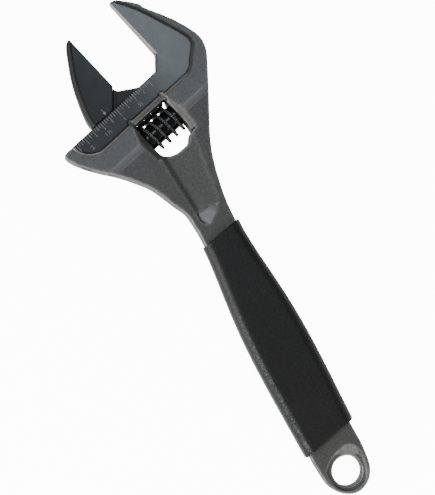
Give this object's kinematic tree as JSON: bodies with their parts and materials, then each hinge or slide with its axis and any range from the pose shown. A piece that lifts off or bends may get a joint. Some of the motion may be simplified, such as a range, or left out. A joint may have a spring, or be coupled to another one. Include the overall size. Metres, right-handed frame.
{
  "type": "adjustable wrench",
  "caption": "Wide-opening adjustable wrench with a forged steel handle, a moulded grip sleeve and a jaw that a thumb worm slides open and shut.",
  "frame": {"origin": "centre of the hang hole on the handle's middle plane", "axes": "+X along the handle to the head, +Y to the side the jaw opens to, +Z square to the faces"},
  "size_m": [0.3246, 0.1046, 0.0204],
  "materials": {
    "forged_steel": "dark phosphated steel, rough where forged and smooth where ground",
    "jaw_steel": "dark phosphated steel, satin",
    "worm_steel": "black oiled steel, knurled",
    "spring_steel": "bright drawn wire",
    "grip": "matt black moulded thermoplastic rubber with a fine grain"
  },
  "bodies": {
    "frame": {"body": "forged_steel", "grip_sleeve": "grip", "worm_pin": "worm_steel", "worm_spring": "spring_steel"},
    "jaw": {"movable_jaw": "jaw_steel"},
    "worm": {"worm": "worm_steel"}
  },
  "joints": [
    {"name": "worm_spin", "type": "hinge", "parent": "frame", "child": "worm", "pos_m": [0.23214, -0.00389, 0], "axis": [0.2588, -0.9659, 0], "range_deg": [-2065, 1416]},
    {"name": "jaw_slide", "type": "slide", "parent": "frame", "child": "jaw", "axis": [-0.2588, 0.9659, 0], "range_m": [-0.0321, 0.022]}
  ],
  "couplings": [
    {"joint": "worm_spin", "follows": "jaw_slide", "rad_per_m": 1122}
  ]
}
